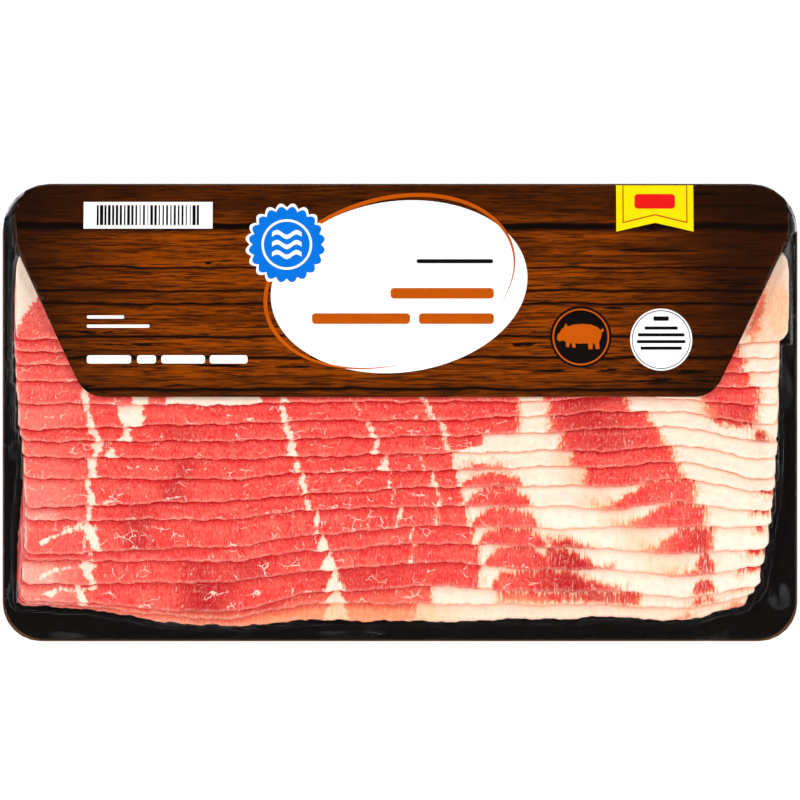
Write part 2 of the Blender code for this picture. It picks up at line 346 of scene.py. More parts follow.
FAT = (
    # the column near the left end
    Seam([(2, -107.5, 2.6, 2.2, -1), (3, -107.4, 2.6, 1.8, -2), (4, -104, 2.4, 1.8, -2.6),
          (5, -104.5, 1.2, .9, -1), (6, -102, 2.0, 3.0, -5), (7, -105.5, 1.2, 1.2, 0),
          (8, -104.0, 2.4, 1.4, -2), (9, -103.5, 2.2, 3.2, -1.5), (10, -103.0, 1.4, 3.4, 1.5),
          (11, -102.0, 2.0, 2.6, -2.5), (12, -104.5, 2.0, 1.4, -2), (13, -106.5, 2.2, 1.4, 0),
          (17, -108, 2.0, 1.0, 0)]),
    # the row of small triangles left of the middle
    Seam([(1, -21.5, 9, 4, 0), (2, -22, 10, .8, 0), (3, -22.5, 8.0, .8, .5), (4, -24.3, 7.5, 0.3, .6),
          (5, -26.3, 5.6, .3, .5), (6, -28.4, 1.4, .3, .4), (7, -31, 2.8, .2, -.6),
          (8, -32, 3.0, .2, -1.4), (9, -34.5, 2.6, .4, -1), (10, -36.4, 4.0, 1.2, -.6),
          (11, -37.4, 3.4, 1.0, -1.2), (12, -38.2, 3.2, .8, -2.2), (13, -39, 3.0, 1.0, -2),
          (17, -42, 2, 1, -1)]),
    # short seams in the main run
    Seam([(10, 16.5, 1.2, .6, -1.5), (11, 15.6, 2.8, 1.0, -2.2), (12, 11.6, 1.2, 1.0, -2.5),
          (13, 8.5, 1.2, .8, -2), (17, 6, 1.2, .6, -1)]),
    Seam([(10, -97.5, 5.0, .3, -1), (11, -93.5, 5.5, 1.0, 1.5), (12, -90.5, 6.5, 8.0, -1),
          (13, -88, 5.0, 8.0, 0)]),
    Seam([(13, -63, 34, 26, 0), (14, -60, 20, 16, 0), (15, -58, 2, 1, 0)]),
    Seam([(4, 3.5, .2, .3, 1.5), (5, 2.8, .7, .5, 2), (6, -1.5, 1.3, .2, 2.2), (7, -3.2, .7, .5, 1.2),
          (8, -4, 1.8, .2, 1.2), (9, -5.5, 4.2, .8, 1.0), (10, -9.0, 2.4, .2, 1.6),
          (11, -8.5, 2.4, 1.0, -2.5), (12, -13, .3, .3, -2)]),
    Seam([(6, 12.4, .2, .2, 0), (7, 13.4, 1.6, .2, -.8), (8, 11.2, 1.8, .8, .3), (9, 8.5, .2, .2, -2)]),
)


ARCHED_SLICES = (3, 4, 6)       # those with a thin arch of fat left of the first seam
CUT_SLICE = 10                  # its long run ends on a slant


def arch_depth(x_mm, share, strip):
    """Distance inside the arch of fat near the left end."""
    arch_top = 0.80 - 0.5 * np.clip((-104.0 - x_mm) / 18.0, 0, 1) ** 2
    arch = 0.45 - np.abs(share - arch_top) * strip
    return np.minimum(arch, np.minimum(x_mm + 122.0, -103.0 - x_mm))


def lean_depth(number, x_mm, y_mm, share, strip):
    """Distance inside lean meat in millimetres, negative in fat."""
    depth = np.full_like(x_mm, -9.0)
    for band in LEAN:
        depth = np.maximum(depth, band.depth(number, x_mm, share, strip))
    if number == CUT_SLICE:
        depth = np.minimum(depth, 16.0 + 26.0 * share - x_mm)
        depth = np.maximum(depth, RIGHT_BLOCK.depth(number, x_mm, share, strip))
    for seam in FAT:
        depth = np.minimum(depth, -seam.depth(number, x_mm, share))
    if number in ARCHED_SLICES:
        depth = np.minimum(depth, -arch_depth(x_mm, share, strip))
    if number == SLICE_COUNT:
        # the top slice's left corner is fat: the border runs down to the left
        corner = (y_mm - 29.8) * 0.556 - (x_mm + 129.2) * 0.83
        depth = np.minimum(depth, -corner)
        # a streak of lean down the curled right end
        streak = 1.0 - np.hypot((x_mm - 121.0 - 0.22 * (y_mm - 32.0)) / 1.6, (y_mm - 33.0) / 9.0)
        depth = np.maximum(depth, 2.0 * streak)
    return depth


# ---------------------------------------------------------------- bacon: the slices

EDGE_ROUND = 0.95 * MM
TOP_ROWS = [MM * w for w in (0.0, 0.06, 0.2, 0.45, 0.95, 1.5, 2.1, 2.8, 3.5, 4.2, 4.9, 5.7, 6.6, 7.8, 9.4,
                             11.0, 13.0, 15.0, 17.0, 20.0, 24.0, 28.0)]
UNDER_ROWS = [MM * w for w in (24.0, 12.0, 5.0, 2.0, 0.95, 0.4, 0.12)]
COLUMN_STEP = 0.8 * MM
END_ROUND = 1.3 * MM


def slice_columns(number):
    """Places along a slice, closer together where its ends are rounded."""
    left, right = slice_ends(number)
    near_end = np.array([0.0, 0.03, 0.12, 0.3, 0.6, 1.0]) * END_ROUND
    inner = np.linspace(left + END_ROUND * 1.5, right - END_ROUND * 1.5,
                        int((right - left) / COLUMN_STEP))
    return np.concatenate([left + near_end, inner, (right - near_end)[::-1]])


def lump_noise(x, y, seed):
    """Soft uneven lumps, about one unit high, from a few turned waves."""
    draw = random.Random(seed)
    total = np.zeros_like(x)
    for size, weight in ((17.0, .45), (9.0, .35), (5.0, .25), (2.7, .16), (1.6, .08)):
        for _ in range(3):
            angle = draw.uniform(0.0, math.pi)
            phase = draw.uniform(0.0, 2.0 * math.pi)
            along = (x * math.cos(angle) + y * math.sin(angle)) / (MM * size * draw.uniform(.8, 1.2))
            total += weight * np.sin(2.0 * math.pi * along + phase) / 1.7
    return total


def build_slice_mesh(number, material):
    """One slice: a thin plate over what lies under it, with a rounded, ragged rim."""
    columns = slice_columns(number)
    left, right = slice_ends(number)
    rows = len(TOP_ROWS) + 1 + len(UNDER_ROWS)
    x = np.repeat(columns[:, None], rows, axis=1)
    front = edge_line(number, columns)
    back = edge_line(number + SLICE_SPAN, columns)
    from_end = np.minimum(columns - left, right - columns)

    corner = np.where((columns > 0) & (number == SLICE_COUNT), 7.5, 3.2) * MM
    inset = corner * (1.0 - np.sqrt(1.0 - (1.0 - np.clip(from_end / corner, 0, 1)) ** 2))
    back_corner = (8.0 if number == SLICE_COUNT else 5.0) * MM
    back_inset = back_corner * (1.0 - np.sqrt(1.0 - (1.0 - np.clip(from_end / back_corner, 0, 1)) ** 2))
    front_y = front + inset * 0.8
    back_y = back - back_inset

    width = back_y - front_y
    reach = np.concatenate([TOP_ROWS, [None], UNDER_ROWS])
    y = np.zeros_like(x)
    for row, offset in enumerate(reach):
        y[:, row] = back_y if offset is None else front_y + np.minimum(offset, width * 0.97)
    is_top = np.arange(rows) < len(TOP_ROWS)
    is_back = np.arange(rows) == len(TOP_ROWS)

    under = slice_underside(number, x, y)
    inward = np.clip((y - front_y[:, None]) / EDGE_ROUND, 0, 1)
    backward = np.clip((back_y[:, None] - y) / EDGE_ROUND, 0, 1)
    end_round = np.sqrt(1.0 - (1.0 - np.clip(from_end / END_ROUND, 0, 1)) ** 2)[:, None]
    round_share = np.sqrt(1.0 - (1.0 - inward) ** 2) * np.sqrt(1.0 - (1.0 - backward) ** 2) * end_round
    round_share = np.clip(round_share, 0.02, 1.0)
    half = SLICE_THICKNESS / 2.0
    sign = np.where(is_top, 1.0, -1.0)[None, :] * np.where(is_back, 0.0, 1.0)[None, :]
    z = under + half + half * sign * round_share

    # lumps and a ragged front edge
    lumps = lump_noise(x, y, RNG_SEED * 7 + number)
    right_lumps = smooth_step((x - 108.0 * MM) / (12.0 * MM)) * (1.0 if number > 11 else 0.3)
    z += np.where(is_top, 1.0, 0.0)[None, :] * (0.10 + 0.34 * right_lumps) * MM * lumps * round_share
    near_edge = np.exp(-((y - front_y[:, None]) / (1.6 * MM)) ** 2)
    rag = lump_noise(x * 1.9, y * 0.2 + number * 0.03, RNG_SEED * 11 + number)
    y += near_edge * 0.16 * MM * rag
    near_end = np.exp(-(from_end / (2.2 * MM)) ** 2)[:, None]
    notch = 1.0 + np.clip(lump_noise(x * 0.2, y * 1.6, RNG_SEED * 13 + number), -1.0, 1.0)
    x += np.where(columns < 0, 1.0, -1.0)[:, None] * near_end * 0.35 * MM * notch

    verts = np.stack([x, y, z], axis=-1).reshape(-1, 3)
    count = len(columns)
    faces = []
    for i in range(count - 1):
        for j in range(rows):
            k = (j + 1) % rows
            faces.append((i * rows + j, i * rows + k, (i + 1) * rows + k, (i + 1) * rows + j))
    faces.append(tuple(range(rows))[::-1])
    faces.append(tuple((count - 1) * rows + j for j in range(rows)))
    mesh = bpy.data.meshes.new(f"bacon_slice_{number:02d}")
    mesh.from_pydata(verts.tolist(), [], faces)
    bm = bmesh.new()
    bm.from_mesh(mesh)
    bmesh.ops.recalc_face_normals(bm, faces=bm.faces)
    bm.to_mesh(mesh)
    bm.free()
    mesh.shade_smooth()

    next_front = edge_line(number + 1, columns)[:, None]
    strip = np.maximum(next_front - front_y[:, None], 1.5 * MM)
    share = (y - front_y[:, None]) / strip
    x_mm, strip_mm = x / MM, np.broadcast_to(strip / MM, x.shape)
    # distance to the next slice's front edge, which places the painted shade and the painted shadow line
    shade_reach = np.clip((next_front - y) / MM, -3.0, 12.0)
    if number == SLICE_COUNT:
        shade_reach = np.full_like(x, 12.0)
    amber = amber_tint(number, x_mm, share)
    if number == SLICE_COUNT:
        lobe = 1.0 - np.hypot((x_mm - 128.0) / 6.5, (y / MM - 35.0) / 13.0)
        amber = np.maximum(amber, smooth_step(lobe * 2.0))
    values = {
        "lean": lean_depth(number, x_mm, y / MM, np.clip(share, 0, 1.3), strip_mm),
        "shade_reach": shade_reach,
        # distance back from the slice's own front edge, for the painted highlight along it
        "rim": np.clip((y - front_y[:, None]) / MM, 0.0, 12.0),
        "amber": amber,
        "deep": deep_tint(number, x_mm),
        "pale": pale_tint(number, x_mm, from_end[:, None] / MM),
        "turn": np.full_like(x, number * 3.7),
    }
    for name, field in values.items():
        layer = mesh.attributes.new(name, "FLOAT", "POINT")
        layer.data.foreach_set("value", np.ascontiguousarray(field, dtype=np.float32).ravel())
    mesh.materials.append(material)
    return add_object(f"bacon_slice_{number:02d}", mesh)


def amber_tint(number, x_mm, share):
    """Orange, see-through look of thin meat: the lowest slice, and tails on the right."""
    run = smooth_step((x_mm + 118.0) / 30.0) * (1.0 - 0.6 * smooth_step((x_mm - 5.0) / 20.0))
    far_left = 0.5 * (1.0 - smooth_step((x_mm + 62.0) / 20.0))
    tint = {1: 1.0, 2: 0.2 + far_left}.get(number, 0.0) * run
    tails = {4: (80, 100), 5: (72, 92), 6: (66, 82), 7: (58, 74), 8: (54, 64), 9: (50, 59),
             2: (30, 52), 12: (98, 108), 17: (112, 134)}
    if number in tails:
        start, end = tails[number]
        patch = np.clip(1.0 - np.abs(x_mm - (start + end) / 2.0) / ((end - start) / 2.0), 0, 1)
        tint = np.maximum(tint, 0.9 * patch ** 0.6 * (1.0 - 0.5 * np.clip(share, 0, 1)))
    return tint


def deep_tint(number, x_mm):
    """Darker red meat: single patches, and the feathered run low on the right."""
    patches = [(1, -65, 10, .9), (2, -66, 12, 1.0), (3, -66, 10, 1.0), (4, -68, 8, .7), (6, -89, 7, .8),
               (7, -88, 6, .5), (8, -77, 5, .8), (9, -73, 4, .7), (11, -74, 8, .5), (3, -15, 25, .5),
               (2, 68, 16, .9), (3, 58, 14, 1.0), (4, 58, 12, 1.0), (5, 57, 12, .9), (13, 65, 12, .6),
               (12, 62, 10, .7), (11, 65, 14, .7), (10, 70, 14, .6), (12, 115, 8, .5), (11, 122, 6, 1.0),
               (4, 104, 5, .8), (3, 104, 5, .9), (2, 104, 5, .9), (5, 102, 6, .7), (6, 123, 4, .9),
               (4, 121, 5, .5), (7, 124, 5, .9), (5, 122, 4, .9), (2, -48, 10, .6), (4, -52, 12, .6)]
    tint = np.zeros_like(x_mm)
    for place, middle, width, weight in patches:
        if place == number:
            tint = np.maximum(tint, weight * np.exp(-((x_mm - middle) / width) ** 2))
    return tint


def pale_tint(number, x_mm, from_end_mm):
    """Pinker meat towards the left ends, with a paler skin at the very end."""
    strength = {1: .9, 2: .95, 3: .8, 4: .9, 7: .9, 8: .7, 9: .35, 10: .4, 12: .5}.get(number, 0.2)
    pink = strength * (1.0 - smooth_step((x_mm + 119.0) / 17.0))
    skin = 1.0 - smooth_step((from_end_mm - 0.2) / 1.6)
    return np.where(x_mm < 0, np.maximum(pink, skin), 0.0)


def bacon_surface():
    """Wet raw bacon: lean, fat, their feathered border and marbling, with painted shade and a thin painted
    shadow line where each slice's edge lies on the one below, and a painted highlight along each front edge.
    """
    material, g, shader = new_surface("raw_bacon_meat")
    lean, shade_reach, rim, amber, deep, pale, turn = (
        g.attribute(name) for name in ("lean", "shade_reach", "rim", "amber", "deep", "pale", "turn"))

    # each slice gets its own stretch of every pattern
    slide = g.node("ShaderNodeCombineXYZ")
    g.feed(slide.inputs["Z"], g.math("MULTIPLY", turn, MM * 7.0))
    shifted = g.node("ShaderNodeVectorMath", operation="ADD")
    g.feed(shifted.inputs[0], g.node("ShaderNodeTexCoord").outputs["Object"])
    g.feed(shifted.inputs[1], slide.outputs[0])

    def stretched(sx, sy, sz=1.0):
        mapping = g.node("ShaderNodeMapping")
        g.feed(mapping.inputs["Vector"], shifted.outputs[0])
        mapping.inputs["Scale"].default_value = (1000 * sx, 1000 * sy, 1000 * sz)
        return mapping.outputs["Vector"]

    broad = g.noise(stretched(0.06, 0.12), 1.0, 3.0, 0.55)
    middle = g.noise(stretched(0.3, 0.26), 1.0, 3.0, 0.6)
    fibre = g.noise(stretched(1.5, 0.16), 1.0, 3.0, 0.6)
    speck = g.noise(stretched(2.3, 0.75), 1.0, 3.0, 0.7)

    # lean or fat, with a feathered border
    wander = g.math("MULTIPLY", g.math("SUBTRACT", middle, 0.5), 5.0)
    side = g.node("ShaderNodeSeparateXYZ")
    g.feed(side.inputs[0], shifted.outputs[0])
    reach = g.remap(side.outputs["X"], -10.0 * MM, 50.0 * MM, 2.2, 7.5)
    comb = g.math("MULTIPLY", g.math("SUBTRACT", fibre, 0.5), reach)
    border = g.math("ADD", lean, g.math("ADD", wander, comb))
    lean_mask = g.remap(border, -0.4, 0.5)
    fringe = g.remap(border, -2.4, -0.1)

    # marbling: crisp branching veins, fed by a gently bent grid of cells
    bend = g.node("ShaderNodeTexNoise")
    g.feed(bend.inputs["Vector"], stretched(0.4, 0.4))
    bend.inputs["Scale"].default_value = 1.0
    warped = g.node("ShaderNodeVectorMath", operation="MULTIPLY_ADD")
    g.feed(warped.inputs[0], bend.outputs["Color"])
    warped.inputs[1].default_value = (0.5, 0.5, 0.5)
    g.feed(warped.inputs[2], stretched(0.21, 0.26, 0.3))
    cells = g.node("ShaderNodeTexVoronoi", feature="DISTANCE_TO_EDGE")
    g.feed(cells.inputs["Vector"], warped.outputs[0])
    cells.inputs["Scale"].default_value = 1.0
    here = g.remap(g.noise(stretched(0.16, 0.22), 1.0, 2.0, 0.5), 0.51, 0.7)
    vein_width = g.math("MULTIPLY", here, 0.05)
    vein = g.remap(cells.outputs["Distance"], vein_width, g.math("MULTIPLY", vein_width, 0.4))
    vein = g.math("MULTIPLY", vein, g.remap(here, 0.08, 0.35))
    vein = g.math("MULTIPLY", vein, g.remap(side.outputs["X"], 60.0 * MM, 40.0 * MM, 0.25, 1.0))
    flecks = g.remap(g.noise(stretched(1.0, 0.7), 1.0, 1.0, 0.5), 0.73, 0.78)
    strands = g.math("MULTIPLY", g.remap(fibre, 0.56, 0.68), g.remap(middle, 0.42, 0.6))
    marbling = g.math("MAXIMUM", vein, g.math("MULTIPLY", flecks, 0.8))
    streaky = g.remap(side.outputs["X"], 35.0 * MM, 60.0 * MM, 0.35, 0.75)
    marbling = g.math("MAXIMUM", marbling, g.math("MULTIPLY", strands, streaky), clamp=True)

    # lean colour
    red = g.mix(g.remap(broad, 0.3, 0.7), linear(232, 62, 56), linear(243, 98, 82))
    red = g.mix(g.remap(middle, 0.4, 0.7), red, linear(228, 46, 46))
    red = g.mix(deep, red, linear(176, 0, 14))
    red = g.mix(g.math("MULTIPLY", pale, 0.75), red, linear(243, 146, 130))
    red = g.mix(g.math("MULTIPLY", g.remap(speck, 0.52, 0.66), 0.45), red, linear(244, 146, 126))
    red = g.mix(g.math("MULTIPLY", g.remap(speck, 0.47, 0.34), 0.6), red, linear(200, 20, 34))
    rightwards = g.remap(side.outputs["X"], -10.0 * MM, 50.0 * MM, 0.2, 1.0)
    edge = g.math("MULTIPLY", g.remap(border, 1.8, 0.2, 0.0, 0.5), rightwards)
    red = g.mix(edge, red, linear(246, 126, 84))
    veined = g.mix(g.math("MULTIPLY", marbling, 0.75), red, linear(248, 216, 196))

    # fat colour
    cream = g.mix(g.remap(middle, 0.35, 0.7), linear(246, 226, 206), linear(245, 214, 196))
    cream = g.mix(g.math("MULTIPLY", g.remap(fibre, 0.54, 0.7), 0.35), cream, linear(246, 196, 168))
    cream = g.mix(g.math("MULTIPLY", g.remap(speck, 0.56, 0.7), 0.3), cream, linear(244, 190, 168))
    orange = g.math("MULTIPLY", g.math("MULTIPLY", fringe, 0.7), rightwards)
    cream = g.mix(orange, cream, linear(250, 172, 126))
    colour = g.mix(lean_mask, cream, veined)
    thin = g.mix(lean_mask, linear(250, 180, 130), linear(252, 156, 108))
    colour = g.mix(g.math("MULTIPLY", amber, g.remap(fibre, 0.3, 0.7, 0.55, 0.95)), colour, thin)
    colour = g.mix(g.remap(pale, 0.8, 1.0, 0.0, 0.6), colour, linear(247, 206, 184))

    # painted shade on the band just behind the next slice's edge, down to a thin painted shadow line at that
    # edge; weaker on fat
    weight = g.mix(lean_mask, (0.3, 0.3, 0.3, 1.0), (1.0, 1.0, 1.0, 1.0))
    under = g.math("MULTIPLY", g.remap(shade_reach, 3.0, 0.2), g.remap(speck, 0.3, 0.6, 0.85, 0.35))
    under = g.math("MULTIPLY", under, weight)
    colour = g.mix(under, colour, g.mix(lean_mask, linear(244, 196, 168), linear(210, 24, 36)))
    # the thin painted shadow line where the next slice lies over this one
    line = g.math("MULTIPLY", g.remap(shade_reach, 0.5, 0.2), g.remap(middle, 0.35, 0.62, 1.0, 0.45))
    line = g.math("MULTIPLY", line, g.remap(amber, 0.2, 0.8, 1.0, 0.35))
    colour = g.mix(line, colour, g.mix(lean_mask, linear(243, 176, 140), linear(200, 0, 14)))
    # painted highlight along the slice's own rounded front edge, where the front lamps would catch it
    painted_edge_highlight = g.math("MULTIPLY", g.remap(rim, 1.3, 0.1), g.remap(fibre, 0.35, 0.65, 0.05, 0.4))
    colour = g.mix(painted_edge_highlight, colour, linear(250, 178, 158))
    g.feed(shader.inputs["Base Color"], colour)

    rough = g.remap(g.noise(stretched(0.5, 0.5), 1.0, 2.0), 0.3, 0.7, 0.26, 0.5)
    g.feed(shader.inputs["Roughness"], rough)
    height = g.math("ADD", g.math("MULTIPLY", speck, 0.6), g.math("MULTIPLY", fibre, 0.7))
    g.feed(shader.inputs["Normal"], g.bump(height, 0.5, 0.3 * MM))
    shader.inputs["Specular IOR Level"].default_value = 0.3
    shader.inputs["Subsurface Weight"].default_value = 0.1
    shader.inputs["Subsurface Radius"].default_value = (1.0, 0.35, 0.2)
    shader.inputs["Subsurface Scale"].default_value = 1.2 * MM
    return material


def build_slices():
    """All the slices, from the lowest up."""
    meat = bacon_surface()
    for number in range(1, SLICE_COUNT + 1):
        piece = build_slice_mesh(number, meat)
        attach(piece, "root")
        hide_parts(f"slice_{number:02d}")


# ---------------------------------------------------------------- front card

def circle(x, y, radius):
    return scalloped(x, y, radius, 0.0, 8)


def fillet(corners, steps=8):
    """Closed outline through (x, y, radius) corners, each rounded by an arc."""
    outline = []
    for index, (x, y, radius) in enumerate(corners):
        here = Vector((x, y))
        before = (Vector(corners[index - 1][:2]) - here).normalized()
        after = (Vector(corners[(index + 1) % len(corners)][:2]) - here).normalized()
        half = before.angle(after) / 2.0
        reach = radius / math.tan(half)
        centre = here + (before + after).normalized() * (radius / math.sin(half))
        first = here + before * reach - centre
        turn = first.angle_signed(here + after * reach - centre)
        for step in range(steps + 1):
            angle = -turn * step / steps
            outline.append((centre.x + first.x * math.cos(angle) - first.y * math.sin(angle),
                            centre.y + first.x * math.sin(angle) + first.y * math.cos(angle)))
    return outline


def box_outline(left, low, right, high, radius=0.0):
    if radius:
        return fillet([(left, low, radius), (right, low, radius), (right, high, radius),
                       (left, high, radius)], steps=5)
    return [(left, low), (right, low), (right, high), (left, high)]


def oval(x, y, half_width, half_height, lag, steps=96):
    """Ellipse leaning by lag degrees between its two directions."""
    return [(x + half_width * math.cos(math.radians(a)),
             y + half_height * math.sin(math.radians(a + lag)))
            for a in (360.0 * s / steps for s in range(steps))]


def swoosh(x, y, half_width, half_height, lag, start, end, thickness, steps=110):
    """Open oval stroke that is thickest half way and thins out to both tips."""
    outer, inner = [], []
    for s in range(steps + 1):
        turn = start + (end - start) * s / steps
        angle, tilt = math.radians(turn), math.radians(turn + lag)
        half = 0.5 * thickness * max(math.sin(math.pi * s / steps), 0.02) ** 0.8
        outer.append((x + (half_width + half) * math.cos(angle), y + (half_height + half) * math.sin(tilt)))
        inner.append((x + (half_width - half) * math.cos(angle), y + (half_height - half) * math.sin(tilt)))
    return outer + inner[::-1]


def wavy_stripe(x, y, length, thickness, steps=24):
    """Stripe with one and a half waves, like a rasher."""
    spine = [(x - length / 2 + length * s / steps, y + 0.8 * math.sin(3.0 * math.pi * s / steps))
             for s in range(steps + 1)]
    return ([(px, py - thickness / 2) for px, py in spine]
            + [(px, py + thickness / 2) for px, py in reversed(spine)])


def scalloped(x, y, radius, depth, lobes, steps=8):
    """Circle with a ring of rounded lobes."""
    outline = []
    for s in range(lobes * steps):
        reach = radius + depth * abs(math.sin(math.pi * s / steps))
        angle = 2.0 * math.pi * s / (lobes * steps)
        outline.append((x + reach * math.cos(angle), y + reach * math.sin(angle)))
    return outline


def anticlockwise(outline):
    """The outline, turned round if it runs clockwise."""
    area = sum(x0 * y1 - x1 * y0 for (x0, y0), (x1, y1) in zip(outline, outline[1:] + outline[:1]))
    return outline if area > 0 else outline[::-1]


CARD_OUTLINE = fillet((
    (-106.6, CARD_FOOT / MM, 10.0),
    (105.9, CARD_FOOT / MM, 10.0),
    (132.4, 60.4, 10.0),
    (132.4, CARD_TOP / MM, 12.0),
    (-131.9, CARD_TOP / MM, 12.0),
    (-130.9, 57.0, 30.0),
))

PIG = [
    (-9.4, -1.3), (-9.1, 0.9), (-8.2, 1.5), (-7.6, 2.8), (-6.6, 3.6), (-6.0, 5.2), (-5.0, 3.9),
    (-3.0, 4.6), (0.5, 4.9), (4.0, 4.7), (6.6, 3.6), (7.8, 2.4), (8.6, 3.3), (9.2, 2.2), (8.3, 1.6),
    (7.9, -0.6), (7.2, -2.4), (7.4, -4.9), (5.9, -5.1), (5.6, -3.2), (4.8, -2.6), (4.6, -5.0),
    (3.1, -5.1), (2.8, -2.7), (-0.8, -2.9), (-2.2, -2.7), (-2.0, -4.4), (-3.3, -4.5), (-3.6, -2.8),
    (-4.2, -2.4), (-4.6, -4.2), (-5.8, -4.2), (-5.9, -2.1), (-7.2, -1.6), (-8.3, -2.0),
]
BADGE = (-38.4, 57.0)           # middle of the blue seal
ROUNDEL = (61.2, 25.6)          # middle of the mark with the pig
STAMP = (88.4, 24.7)            # middle of the white seal
RIBBON = (73.4, 99.6, 77.2)     # the yellow ribbon's left, right and top


def ribbon(left_inset, right_inset, foot, notch, top_gap):
    """Ribbon outline with a forked foot, drawn in from its sides."""
    left, right, top = RIBBON[0] + left_inset, RIBBON[1] - right_inset, RIBBON[2] - top_gap
    return [(left, foot), (86.6, notch), (right, foot), (right, top), (left, top)]


def printed_fields():
    """The card's print, back to front: (colour name, outline in millimetres)."""
    fields = [
        ("plank_print", CARD_OUTLINE),
        ("white_print", oval(-0.3, 42.7, 43.5, 29.4, 6)),
        ("orange_print", swoosh(-3.4, 44.4, 42.2, 29.5, 13, -30, 280, 1.5)),
        ("white_print", scalloped(*BADGE, 12.6, 1.5, 20)),
        ("blue_print", scalloped(*BADGE, 11.6, 1.4, 20)),
        ("white_print", circle(*BADGE, 8.6)),
        ("blue_print", circle(*BADGE, 7.8)),
    ]
    for rise in (-3.4, 0.0, 3.4):
        fields.append(("white_print", wavy_stripe(BADGE[0], BADGE[1] + rise, 10.0, 1.5)))
    # plain bars where words would stand: colour, left, low, right, high, corner radius
    for name, *bar in (
        ("dark_print", 5.6, 50.6, 31.6, 52.0, 0.7),
        ("orange_print", -3.2, 38.6, 31.8, 42.2, 1.2),
        ("orange_print", -29.8, 30.0, 3.4, 33.6, 1.2),
        ("orange_print", 6.4, 30.0, 31.8, 33.6, 1.2),
        ("white_print", -106.0, 31.8, -93.4, 32.9, 0.4),
        ("white_print", -106.0, 28.7, -84.8, 29.8, 0.4),
        ("white_print", -106.0, 16.6, -91.0, 19.4, 0.9),
        ("white_print", -89.0, 16.6, -82.6, 19.4, 0.9),
        ("white_print", -80.8, 16.6, -66.0, 19.4, 0.9),
        ("white_print", -64.4, 16.6, -51.6, 19.4, 0.9),
        ("white_print", -107.4, 62.4, -63.6, 71.5, 0.0),
    ):
        fields.append((name, box_outline(*bar)))
    fields += [
        ("yellow_print", ribbon(0.0, 0.0, 61.4, 64.4, 0.0)),
        ("orange_print", ribbon(2.1, 2.0, 64.2, 66.9, 0.05)),
        ("yellow_print", ribbon(2.55, 2.45, 64.8, 67.4, 0.1)),
        ("red_print", box_outline(79.6, 69.2, 93.4, 74.2, 1.2)),
        ("dark_print", scalloped(*ROUNDEL, 10.3, 0.15, 40, 4)),
        ("orange_print", circle(*ROUNDEL, 9.6)),
        ("dark_print", circle(*ROUNDEL, 9.05)),
        ("orange_print", [(ROUNDEL[0] + 0.86 * px, ROUNDEL[1] + 0.2 + 0.86 * py) for px, py in PIG]),
        ("white_print", circle(*STAMP, 10.5)),
        ("dark_print", circle(*STAMP, 9.95)),
        ("white_print", circle(*STAMP, 9.65)),
    ]
    for middle, half, height in ((31.8, 2.6, 1.5), (28.6, 5.6, 1.1), (26.3, 7.9, 1.1),
                                 (24.0, 8.2, 1.1), (21.8, 7.0, 1.1)):
        bar = box_outline(STAMP[0] - half, middle - height / 2, STAMP[0] + half, middle + height / 2, 0.3)
        fields.append(("dark_print", bar))
    return fields


def ink_mottle():
    """Node group shared by the inks: faint mottling, and the gloss it makes uneven."""
    tree = bpy.data.node_groups.new("ink_mottle", "ShaderNodeTree")
    for name, kind, way in (("Ink", "NodeSocketColor", "INPUT"), ("Gloss", "NodeSocketFloat", "INPUT"),
                            ("Colour", "NodeSocketColor", "OUTPUT"),
                            ("Roughness", "NodeSocketFloat", "OUTPUT")):
        tree.interface.new_socket(name, in_out=way, socket_type=kind)
    g = Graph(tree)
    given, result = g.node("NodeGroupInput"), g.node("NodeGroupOutput")
    mottle = g.noise(g.place((0.35, 0.35, 0.35)), 1.0, 3.0)
    darker = g.node("ShaderNodeVectorMath", operation="SCALE")
    g.feed(darker.inputs[0], given.outputs["Ink"])
    darker.inputs["Scale"].default_value = 0.93
    g.feed(result.inputs["Colour"],
           g.mix(g.remap(mottle, 0.3, 0.7), given.outputs["Ink"], darker.outputs[0]))
    g.feed(result.inputs["Roughness"],
           g.math("ADD", given.outputs["Gloss"], g.remap(mottle, 0.3, 0.7, -0.05, 0.08)))
    return tree


def printed_colour(name, colour, roughness=0.4):
    """Flat ink on coated card."""
    material, g, shader = new_surface(name)
    mottle = g.node("ShaderNodeGroup", node_tree=bpy.data.node_groups["ink_mottle"])
    mottle.inputs["Ink"].default_value = colour
    mottle.inputs["Gloss"].default_value = roughness
    g.feed(shader.inputs["Base Color"], mottle.outputs["Colour"])
    g.feed(shader.inputs["Roughness"], mottle.outputs["Roughness"])
    shader.inputs["Specular IOR Level"].default_value = 0.05
    return material


PLANK_GROOVES = (63.1, 49.1, 41.3, 36.9, 25.7, 18.6, 7.9)      # height on the card, in millimetres
GROOVE_HALF_WIDTHS = (1.9, 0.5, 0.6, 0.7, 0.7, 0.8, 0.8)


